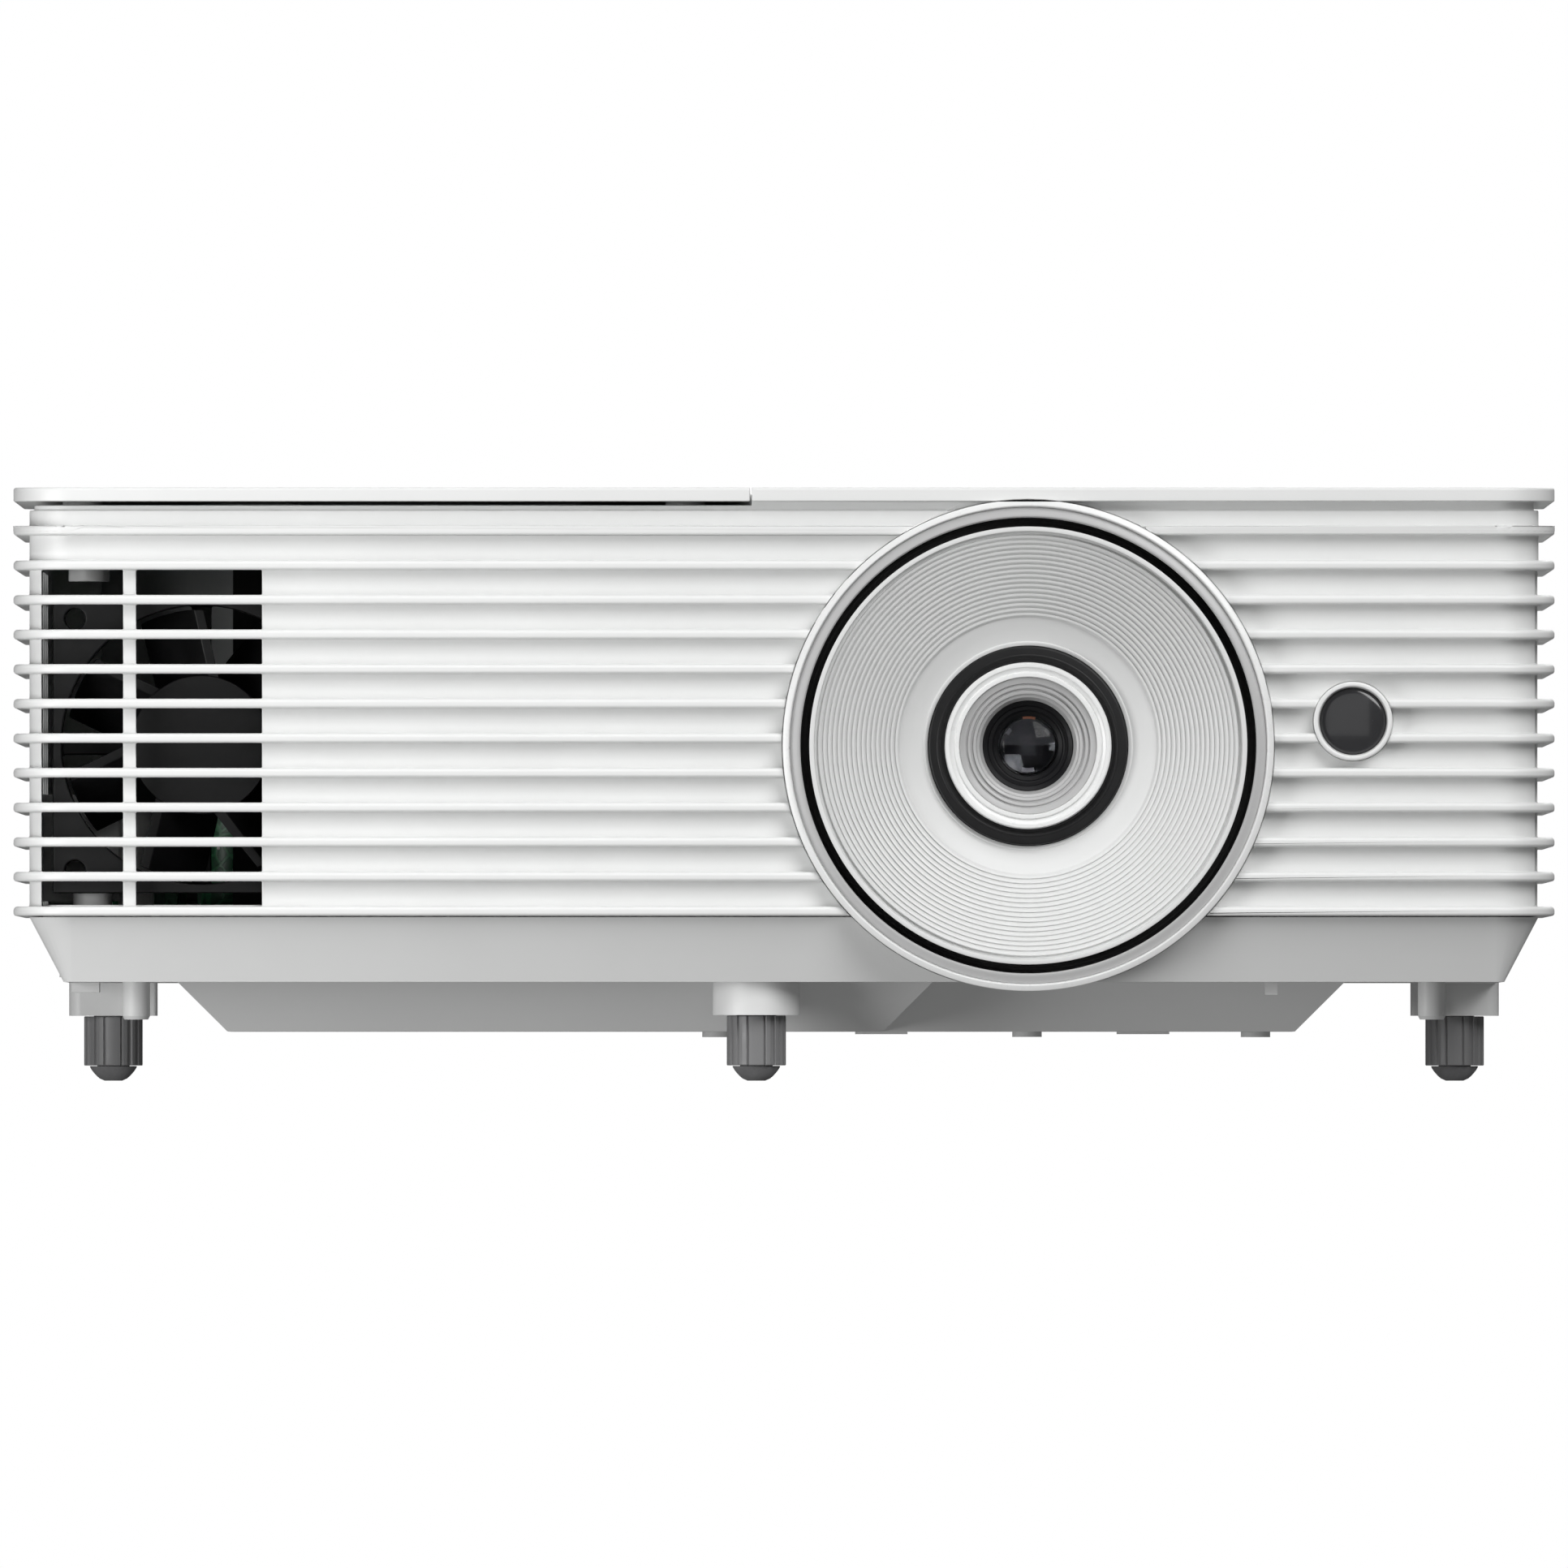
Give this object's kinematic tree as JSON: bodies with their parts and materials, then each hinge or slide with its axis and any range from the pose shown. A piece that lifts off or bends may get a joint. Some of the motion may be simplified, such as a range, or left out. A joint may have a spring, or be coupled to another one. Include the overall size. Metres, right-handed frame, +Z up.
{
  "type": "home projector",
  "caption": "Low box-shaped home projector with thin ribs all round, a funnel-shaped lens surround, top rings for focus and zoom, a keypad, a lamp cover, rear sockets and screw feet.",
  "frame": {"origin": "middle of the footprint, at the height of the foot tips with the feet screwed in", "axes": "+X to the right seen from the front, +Y from the lens to the sockets at the back, +Z up; the lens looks along -Y"},
  "size_m": [0.312, 0.222, 0.12],
  "materials": {
    "white_case": "fine-grained matt",
    "white_lower_case": "fine-grained matt",
    "white_trim": "satin",
    "white_dish": "matt with turned grooves",
    "black_rubber": "matt",
    "window_plastic": "gloss, passes infrared",
    "panel_grey": "fine-grained matt",
    "key_grey": "satin",
    "clear_plastic": "clear",
    "black_plastic": "satin",
    "foot_grey": "satin",
    "foot_rubber": "matt",
    "lens_glass": "coated",
    "cast_metal": "die-cast",
    "bright_metal": "satin",
    "steel": "plated",
    "brass": "turned",
    "mirror": "coated",
    "circuit_board": "solder mask",
    "wheel_glass": "dichroic",
    "socket_blue": "satin"
  },
  "bodies": {
    "case": {"upper_case": "white_case", "lower_case": "white_lower_case", "rear_panel": "panel_grey", "lens_bezel": "white_trim", "bezel_gasket": "black_rubber", "lens_dish": "white_dish", "ir_bezel": "white_trim", "ir_window": "window_plastic", "ir_receiver_board": "circuit_board", "keypad_panel": "panel_grey", "keypad_board": "circuit_board", "status_lights": "clear_plastic", "lens_barrel": "black_plastic", "rear_lens_group": "lens_glass", "engine_housing": "cast_metal", "prism": "lens_glass", "dmd_board": "circuit_board", "dmd_heatsink": "bright_metal", "light_tunnel": "mirror", "wheel_motor": "steel", "lamp_housing": "black_plastic", "lamp_reflector": "mirror", "lamp_handle": "steel", "exhaust_fan_frame": "black_plastic", "blower_case": "black_plastic", "power_board": "circuit_board", "ballast_board": "circuit_board", "main_board": "circuit_board", "speaker": "black_plastic", "ac_inlet": "black_plastic", "hdmi_ports": "steel", "dsub_ports": "socket_blue", "usb_port": "steel", "av_jacks": "black_plastic", "case_screws": "steel", "ceiling_inserts": "brass"},
    "lamp_cover": {"lamp_cover": "white_case", "lamp_cover_screw": "steel"},
    "focus_ring": {"focus_ring": "black_plastic"},
    "focus_cell": {"front_lens_cell": "white_trim", "front_lens": "lens_glass"},
    "zoom_ring": {"zoom_ring": "black_plastic"},
    "zoom_cell": {"zoom_lens_cell": "black_plastic"},
    "colour_wheel": {"colour_wheel": "wheel_glass"},
    "exhaust_rotor": {"exhaust_fan_rotor": "black_plastic"},
    "blower_rotor": {"blower_rotor": "black_plastic"},
    "power_key": {"power_key": "key_grey"},
    "menu_key": {"menu_key": "key_grey"},
    "source_key": {"source_key": "key_grey"},
    "up_key": {"up_key": "key_grey"},
    "down_key": {"down_key": "key_grey"},
    "left_key": {"left_key": "key_grey"},
    "right_key": {"right_key": "key_grey"},
    "enter_key": {"enter_key": "key_grey"},
    "front_foot_tip": {"front_foot_tip": "foot_rubber"},
    "front_foot_screw": {"front_foot_screw": "foot_grey"},
    "left_foot_tip": {"left_foot_tip": "foot_rubber"},
    "left_foot_screw": {"left_foot_screw": "foot_grey"},
    "right_foot_tip": {"right_foot_tip": "foot_rubber"},
    "right_foot_screw": {"right_foot_screw": "foot_grey"}
  },
  "joints": [
    {"name": "lamp_cover_lift", "type": "slide", "parent": "case", "child": "lamp_cover", "axis": [0, 0, 1], "range_m": [0, 0.06]},
    {"name": "focus_turn", "type": "hinge", "parent": "case", "child": "focus_ring", "pos_m": [0.0494, -0.078, 0.0678], "axis": [0, 1, 0], "range_deg": [-40, 40]},
    {"name": "focus_slide", "type": "slide", "parent": "case", "child": "focus_cell", "axis": [0, 1, 0], "range_m": [-0.002, 0.002]},
    {"name": "zoom_turn", "type": "hinge", "parent": "case", "child": "zoom_ring", "pos_m": [0.0494, -0.059, 0.0678], "axis": [0, 1, 0], "range_deg": [-15, 15]},
    {"name": "zoom_slide", "type": "slide", "parent": "case", "child": "zoom_cell", "axis": [0, 1, 0], "range_m": [-0.004, 0.004]},
    {"name": "wheel_spin", "type": "hinge", "parent": "case", "child": "colour_wheel", "pos_m": [-0.037, 0, 0.051], "axis": [1, 0, 0], "continuous": true},
    {"name": "exhaust_spin", "type": "hinge", "parent": "case", "child": "exhaust_rotor", "pos_m": [-0.118, -0.09, 0.068], "axis": [0, 1, 0], "continuous": true},
    {"name": "blower_spin", "type": "hinge", "parent": "case", "child": "blower_rotor", "pos_m": [-0.08, -0.056, 0.068], "axis": [0, 1, 0], "continuous": true},
    {"name": "power_key_press", "type": "slide", "parent": "case", "child": "power_key", "axis": [0, 0, -1], "range_m": [0, 0.0008], "stiffness_N_per_m": 400, "springref_m": -0.001},
    {"name": "menu_key_press", "type": "slide", "parent": "case", "child": "menu_key", "axis": [0, 0, -1], "range_m": [0, 0.0008], "stiffness_N_per_m": 400, "springref_m": -0.001},
    {"name": "source_key_press", "type": "slide", "parent": "case", "child": "source_key", "axis": [0, 0, -1], "range_m": [0, 0.0008], "stiffness_N_per_m": 400, "springref_m": -0.001},
    {"name": "up_key_press", "type": "slide", "parent": "case", "child": "up_key", "axis": [0, 0, -1], "range_m": [0, 0.0008], "stiffness_N_per_m": 400, "springref_m": -0.001},
    {"name": "down_key_press", "type": "slide", "parent": "case", "child": "down_key", "axis": [0, 0, -1], "range_m": [0, 0.0008], "stiffness_N_per_m": 400, "springref_m": -0.001},
    {"name": "left_key_press", "type": "slide", "parent": "case", "child": "left_key", "axis": [0, 0, -1], "range_m": [0, 0.0008], "stiffness_N_per_m": 400, "springref_m": -0.001},
    {"name": "right_key_press", "type": "slide", "parent": "case", "child": "right_key", "axis": [0, 0, -1], "range_m": [0, 0.0008], "stiffness_N_per_m": 400, "springref_m": -0.001},
    {"name": "enter_key_press", "type": "slide", "parent": "case", "child": "enter_key", "axis": [0, 0, -1], "range_m": [0, 0.0008], "stiffness_N_per_m": 400, "springref_m": -0.001},
    {"name": "front_foot_extend", "type": "slide", "parent": "case", "child": "front_foot_tip", "axis": [0, 0, -1], "range_m": [0, 0.01]},
    {"name": "front_foot_turn", "type": "hinge", "parent": "front_foot_tip", "child": "front_foot_screw", "pos_m": [-0.0056, -0.088, 0.01], "axis": [0, 0, -1], "range_deg": [0, 1800]},
    {"name": "left_foot_extend", "type": "slide", "parent": "case", "child": "left_foot_tip", "axis": [0, 0, -1], "range_m": [0, 0.01]},
    {"name": "left_foot_turn", "type": "hinge", "parent": "left_foot_tip", "child": "left_foot_screw", "pos_m": [-0.1374, 0.088, 0.01], "axis": [0, 0, -1], "range_deg": [0, 1800]},
    {"name": "right_foot_extend", "type": "slide", "parent": "case", "child": "right_foot_tip", "axis": [0, 0, -1], "range_m": [0, 0.01]},
    {"name": "right_foot_turn", "type": "hinge", "parent": "right_foot_tip", "child": "right_foot_screw", "pos_m": [0.1374, 0.088, 0.01], "axis": [0, 0, -1], "range_deg": [0, 1800]}
  ],
  "couplings": [
    {"joint": "focus_slide", "follows": "focus_turn", "m_per_rad": 0.002864},
    {"joint": "zoom_slide", "follows": "zoom_turn", "m_per_rad": 0.01527},
    {"joint": "front_foot_turn", "follows": "front_foot_extend", "rad_per_m": 3141.6},
    {"joint": "left_foot_turn", "follows": "left_foot_extend", "rad_per_m": 3141.6},
    {"joint": "right_foot_turn", "follows": "right_foot_extend", "rad_per_m": 3141.6}
  ]
}
